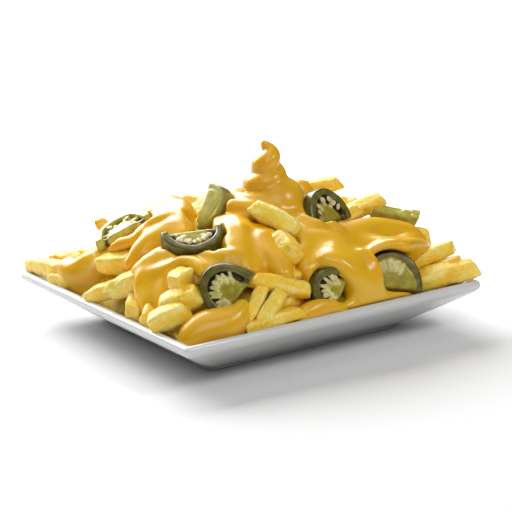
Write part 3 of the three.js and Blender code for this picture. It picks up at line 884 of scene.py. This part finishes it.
axes = grid_axes(SAUCE_LOW, SAUCE_HIGH, SAUCE_STEP)
covered = [fry for i, fry in enumerate(all_fries) if i not in ON_TOP]
over_fries = distance_to_fries(axes, covered, FRY_BLEND)
depth_in_sheet = np.abs(over_fries - (SHEET_OVER - LIP))
sauce = np.full(over_fries.shape, FAR_OFF)
for chain in STREAMS.values():
    edge = distance_to_path(axes, curved(chain), STREAM_MELT[0])
    sheet = np.hypot(np.maximum(edge + LIP, 0), depth_in_sheet) - LIP
    sauce = melt(sauce, sheet, STREAM_MELT[1])
sauce = melted_in(sauce, axes, MASSES, *MASS_MELT)
sauce = melted_in(sauce, axes, FOLDS, *FOLD_MELT)
for chain in FURROWS.values():
    sauce = carved(sauce, distance_to_path(axes, curved(chain), FURROW_MELT[0]), FURROW_MELT[1])
rope = []
for angle, height, out, thick in curved(SWIRL_ROPE, 16):
    angle = math.radians(angle)
    rope.append(np.array([SWIRL_AXIS[0] + out * math.cos(angle), SWIRL_AXIS[1] + out * math.sin(angle),
                          height, thick]))
core = distance_to_path(axes, [np.array(station, float) for station in SWIRL_CORE], ROPE_REACH)
sauce = melt(sauce, melt(distance_to_path(axes, rope, ROPE_REACH), core, ROPE_MELT), FOOT_MELT)
for row, ahead, below in zip(PEPPERS, FACE_CLEAR, CUT_CLEAR):
    cuts, room = slice_room(axes, row, ahead, below)
    sauce[cuts] = carved(sauce[cuts], room - SLICE_GAP, 1.5)
sauce = melted_in(sauce, axes, OVERLAPS, *LAP_MELT)
x, y, z = open_grid(axes)
sauce = carved(sauce, SAUCE_SPREAD - np.maximum(np.abs(x), np.abs(y)), 4)
sauce = carved(sauce, z - plate_inside(x, y) - PLATE_GAP, 1)
cheese = melted_cheese()
sauce_piece = skin("melted_cheese_sauce", sauce, axes, SAUCE_STEP)
sauce_piece.data.materials.append(cheese)
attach(sauce_piece, "root")
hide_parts("cheese_sauce")

POOL_STEP, POOL_ROOM = 0.8, 16
# the two pools of sauce in the plate and the ridges that the last drips left: x, y, z, radius
POOLS = {
    "cheese_pool_front": [(-87, -79, 26, 6), (-82, -79, 28, 9), (-75, -80, 30, 11), (-67, -83, 31, 11),
                          (-60, -85, 34, 8.5), (-56, -85, 39, 4.5)],
    "cheese_pool_side": [(-21, -91, 29, 4.5), (-13, -90, 30, 6.5), (-4, -90, 30, 6), (6, -92, 29, 4)],
}
POOL_RIDGES = {
    "cheese_pool_front": [(-66, -88, 35, 4), (-59, -87, 38, 4), (-54, -85, 42, 3)],
    "cheese_pool_side": [(-16, -92, 32, 3), (-8, -92, 34, 3), (0, -93, 32, 3)],
}
for node, chain in POOLS.items():
    low, high = np.min(chain, axis=0)[:3] - POOL_ROOM, np.max(chain, axis=0)[:3] + POOL_ROOM
    pool_axes = grid_axes(low, high, POOL_STEP)
    body = distance_to_path(pool_axes, curved(chain, 8), 8)
    body = melt(body, distance_to_path(pool_axes, curved(POOL_RIDGES[node]), 6), 3.0)
    pool = skin(node + "_poured", body, pool_axes, POOL_STEP)
    pool.data.materials.append(cheese)
    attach(pool, "root")
    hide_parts(node)


# ---------------------------------------------------------------------------
# Jalapenos: pickled rings cut in half, olive green, with a dark skin, a thick
# wall, a hollow round the pale seed core and ribs that held the seeds.
# ---------------------------------------------------------------------------
PEPPER_STEP = 0.55
WALL, HOLLOW = 4.5, 3.2  # the wall's thickness, and the width of the hollow inside it
PAINTED_LIGHT = {1: 1.0, 2: 0.6, 6: 1.0}  # the slices painted paler as painted light, for the back light falling on them, and how much


def slab(outline, height, half, soft):
    # A flat shape of that outline and half thickness, with soft edges
    a, b = outline + soft, np.abs(height) - half + soft
    return np.hypot(np.maximum(a, 0), np.maximum(b, 0)) + np.minimum(np.maximum(a, b), 0) - soft


def to_rim(angle, width, depth):
    # From the middle of the straight cut towards the round rim, and how far off that is
    toward = np.array([math.cos(angle), math.sin(angle)])
    return toward, 1 / math.hypot(toward[0] / (width / 2), toward[1] / depth)


def pepper_shape(width, depth, thickness, ribs, combed, core, draw):
    half = thickness / 2
    cut = -CUT_SHARE * depth
    low, high = (-width / 2 - 4, cut - 4, -half - 3), (width / 2 + 4, cut + depth + 4, half + 3)
    axes = grid_axes(low, high, PEPPER_STEP)
    x, y, z = open_grid(axes)
    phase = draw.uniform(0, 6)
    around = np.arctan2(y - cut, x)
    lean = 1 + 0.03 * z / half
    rim = to_ellipse(x * lean, (y - cut) * lean, width / 2, depth) + 0.45 * np.sin(3 * around + phase)
    outer = np.maximum(rim, cut - y)
    wall_inside = rim + WALL + 0.35 * np.sin(5 * around + phase)
    wall = slab(np.maximum(outer, -wall_inside), z, half, 1.1)
    core_rim = rim + WALL + HOLLOW * (1.6 - 0.6 * core) + 0.5 * np.sin(4 * around - phase)
    core_cut = cut - y + 0.6
    sunken = 0.5 - min(max(core - 1.3, 0), 1.8)
    heart = slab(np.maximum(core_rim, core_cut), z + sunken, half - 1.1, 2.0)
    shape = melt(wall, heart, 0.6)
    for side in (-1, 1):
        # the core stays joined to the wall at both ends of the straight cut
        inner, outer_end = width / 2 * 0.42, width / 2 * 0.78
        bridge = distance_to_path(axes, [np.array([side * inner, cut + 2.2, -0.6, half * 0.55]),
                                         np.array([side * outer_end, cut + 2.0, -0.4, half * 0.5])], 4)
        shape = melt(shape, np.maximum(bridge, cut - y), 1.0)
    back = slab(np.maximum(outer + 1, -(outer + 60)), z + half - 1.5, 0.7, 0.3)
    shape = melt(shape, back, 0.6)
    comb = np.full(shape.shape, FAR_OFF)
    for rib in range(ribs):
        share = combed[0] + (combed[1] - combed[0]) * (rib + 0.5) / ribs
        toward, radius = to_rim(math.pi * (share + draw.uniform(-0.02, 0.02)), width, depth)
        inner = radius - WALL - HOLLOW - 2.8 + draw.uniform(-1.0, 0.6)
        outer_end = radius - WALL - HOLLOW * 0.55 + draw.uniform(-1.1, 0.8)
        height = half - 1.5 - sunken + draw.uniform(-0.6, 0.4)
        start = np.array([toward[0] * inner, cut + toward[1] * inner, height, 0.9])
        end = np.array([toward[0] * outer_end, cut + toward[1] * outer_end, height - 0.7, 1.15])
        comb = np.minimum(comb, distance_to_path(axes, [start, end], 3))
    shape = melt(shape, comb, 0.7)
    return axes, shape, rim, comb, wall_inside, core_rim


def nearest(axes, grid, points):
    spots = []
    for i, axis in enumerate(axes):
        step = axis[1] - axis[0]
        spots.append(np.clip(np.rint((points[:, i] - axis[0]) / step).astype(int), 0, len(axis) - 1))
    shape = np.broadcast_to(grid, [len(axis) for axis in axes])
    return shape[tuple(spots)]


def pickled_pepper():
    pepper, tree, shader = new_material("pickled_pepper", {
        "Roughness": 0.28, "IOR": 1.42, "Subsurface Weight": 0.3,
        "Subsurface Radius": (0.6, 0.6, 0.15), "Subsurface Scale": 0.002,
        "Coat Weight": 0.25, "Coat Roughness": 0.15})
    mottle = noise_node(tree, Scale=260, Detail=3)

    def shades(dark, light):
        ramp = colour_ramp(tree, (0.36, dark), (0.64, light))
        join(tree, [(mottle, "Fac", ramp, "Fac")])
        return ramp, "Color"

    # From the wall up, each shade covers the last where its attribute marks it
    colour = shades((0.115, 0.100, 0.018), (0.20, 0.17, 0.032))
    for attribute, dark, light in (
            ("peel", (0.075, 0.065, 0.010), (0.13, 0.112, 0.019)),
            ("heart", (0.31, 0.26, 0.020), (0.45, 0.38, 0.040)),
            # painted light: the pale shade lightens the slices that catch the back light
            ("pale", (0.42, 0.36, 0.045), (0.60, 0.54, 0.10)),
            # painted shade: the hollow is painted dark for the shade that falls in it
            ("hollow", (0.055, 0.042, 0.008), (0.09, 0.07, 0.014)),
            ("rib", (0.60, 0.54, 0.18), (0.78, 0.72, 0.34))):
        mask = add_node(tree, "ShaderNodeAttribute", attribute_name=attribute)
        mix = add_node(tree, "ShaderNodeMix", data_type="RGBA")
        join(tree, [
            (mask, "Fac", mix, "Factor"),
            (*colour, mix, "A"),
            (*shades(dark, light), mix, "B"),
        ])
        colour = mix, "Result"
    join(tree, [(*colour, shader, "Base Color")])
    add_relief(tree, shader, mottle, 0.3, 0.0004)
    return pepper


pepper_material = pickled_pepper()
seed_places = []
for number, row in enumerate(PEPPERS, start=1):
    x, y, z, heading, elevation, spin, width, depth, thickness, ribs, combed, seeds, core = row
    draw = np.random.default_rng(40 + number)
    local_axes, shape, rim, comb, wall_inside, core_rim = pepper_shape(
        width, depth, thickness, ribs, combed, core, draw)
    piece = skin(f"pepper_half_{number:02d}", shape, local_axes, PEPPER_STEP, 2)
    local = np.empty(len(piece.data.vertices) * 3)
    piece.data.vertices.foreach_get("co", local)
    local = local.reshape(-1, 3) / MM
    half = thickness / 2
    rim_at = nearest(local_axes, rim, local)
    inside_at = nearest(local_axes, wall_inside, local)
    core_at = nearest(local_axes, core_rim, local)
    comb_at = nearest(local_axes, comb, local)
    paints = {
        "peel": np.clip((rim_at + 1.5) / 0.9, 0, 1),
        # painted light: the slices that catch the back light are painted pale all over
        "pale": PAINTED_LIGHT.get(number, 0) * np.clip((0.4 - rim_at) / 1.2, 0.6, 1),
        "heart": np.clip((0.6 - core_at) / 0.8, 0, 1),
        "rib": np.clip((0.9 - comb_at) / 0.6, 0, 1) * (local[:, 2] > -half * 0.2),
        # painted shade: the recess inside the wall, beside the core and below the face, is painted dark
        "hollow": np.clip((-inside_at - 0.1) / 0.5, 0, 1) * np.clip(core_at / 0.6, 0, 1)
        * np.clip((half * 0.55 - local[:, 2]) / 1.2, 0, 1),
    }
    for name, values in paints.items():
        mark_points(piece, name, "FLOAT", "value", values)
    turned = slice_axes(heading, elevation, spin)
    piece.data.transform(Matrix.Translation(Vector((x, y, z)) * MM) @ turned.to_4x4())
    piece.data.materials.append(pepper_material)
    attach(piece, "root")
    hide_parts(f"jalapeno_{number:02d}")
    for seed in range(seeds):
        angle = math.pi * (0.2 + 0.6 * (seed + 0.5) / max(seeds, 1) + draw.uniform(-0.02, 0.02))
        toward, radius = to_rim(angle, width, depth)
        out = radius - WALL - HOLLOW * 0.9 + draw.uniform(-0.8, 0.5)
        spot = Vector((toward[0] * out, toward[1] * out - CUT_SHARE * depth, half - 0.6))
        lean = Matrix.Rotation(angle + draw.uniform(-0.4, 0.4), 3, "Z") @ Matrix.Rotation(
            draw.uniform(-0.5, 0.5), 3, "X")
        seed_places.append((Vector((x, y, z)) + turned @ spot, (turned @ lean).to_euler(),
                            draw.uniform(0.95, 1.3)))


# ---------------------------------------------------------------------------
# Seeds: flat cream teardrops about 3 mm long that cling to the cores.
# ---------------------------------------------------------------------------
def seed_shape():
    rows, around = 7, 12
    half_length, half_width, half_depth = 1.7 * MM, 1.25 * MM, 0.55 * MM
    points = [(-half_length, 0, 0)]
    for row in range(1, rows):
        along = math.pi * row / rows
        girth = math.sin(along) * (1 - 0.25 * math.cos(along))
        for step in range(around):
            turn = 2 * math.pi * step / around
            points.append((-half_length * math.cos(along), half_width * girth * math.cos(turn),
                           half_depth * girth * math.sin(turn)))
    points.append((half_length, 0, 0))
    return mesh_object("seed_shape", points, ring_faces(rows - 1, around))


def seed_coat():
    coat, tree, shader = new_material("seed_coat", {
        "Roughness": 0.35, "Subsurface Weight": 0.3, "Subsurface Scale": 0.001})
    freckle = noise_node(tree, Scale=500)
    tint = colour_ramp(tree, (0, (0.55, 0.46, 0.20)), (1, (0.85, 0.78, 0.50)))
    join(tree, [(freckle, "Fac", tint, "Fac"), (tint, "Color", shader, "Base Color")])
    return coat


def seed_tree(material):
    tree, given, result = growing_tree("seeds_on_cores", {"Seed": ("NodeSocketObject", None)})
    lay = laid_on_points(tree, given, "Seed", "size", "FLOAT")
    realize = add_node(tree, "GeometryNodeRealizeInstances")
    finish = add_node(tree, "GeometryNodeSetMaterial", {"Material": material})
    join(tree, [
        (lay, "Instances", realize, "Geometry"),
        (realize, "Geometry", finish, "Geometry"),
        (finish, "Geometry", result, "Geometry"),
    ])
    return tree


scattered = mesh_object("seed_places", [spot * MM for spot, _, _ in seed_places], [])
mark_points(scattered, "turn", "FLOAT_VECTOR", "vector", [tuple(euler) for _, euler, _ in seed_places])
mark_points(scattered, "size", "FLOAT", "value", [size for _, _, size in seed_places])
seed = seed_shape()
seeds = grown("jalapeno_seeds", scattered, seed_tree(seed_coat()), {"Seed": seed})
bpy.data.objects.remove(seed)
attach(seeds, "root")


# ---------------------------------------------------------------------------
# Studio: a plain pale table under a faint sky. Two wide soft lights stand at
# the back, one hangs overhead, and a small and a wide one stand at the front.
# ---------------------------------------------------------------------------
TABLE_HALF = 4.0
AIM = Vector((0, 0, 0.05))
# place, width, height and power of each light
LAMPS = {
    "back_left": ((0.08, 0.94, 0.88), 1.5, 0.7, 25),
    "back_low": ((-0.10, 1.38, 0.60), 1.5, 0.8, 15),
    "overhead": ((-0.10, 0.00, 1.20), 0.8, 0.8, 2),
    "window": ((0.50, -0.95, 0.95), 0.3, 0.3, 4.5),
    "front": ((-0.55, -0.95, 1.00), 0.8, 0.8, 5.3),
}

table = mesh_object("table", [(-TABLE_HALF, -TABLE_HALF, 0), (TABLE_HALF, -TABLE_HALF, 0),
                              (TABLE_HALF, TABLE_HALF, 0), (-TABLE_HALF, TABLE_HALF, 0)], [(0, 1, 2, 3)])
paper, _, _ = new_material("studio_paper", {
    "Base Color": (0.80, 0.80, 0.80, 1), "Roughness": 0.9, "Specular IOR Level": 0.1})
table.data.materials.append(paper)

for name, (spot, width, height, power) in LAMPS.items():
    data = bpy.data.lights.new(name, "AREA")
    data.shape = "RECTANGLE"
    data.size, data.size_y = width, height
    data.energy = power
    lamp = bpy.data.objects.new(name, data)
    lamp.location = spot
    lamp.rotation_euler = (AIM - Vector(spot)).to_track_quat("-Z", "Y").to_euler()
    bpy.context.collection.objects.link(lamp)
sky = bpy.data.worlds.new("sky")
sky.use_nodes = True
set_sockets(sky.node_tree.nodes["Background"], {"Color": (1, 1, 1, 1), "Strength": 0.08})
bpy.context.scene.world = sky
bpy.context.scene.view_settings.view_transform = "Standard"
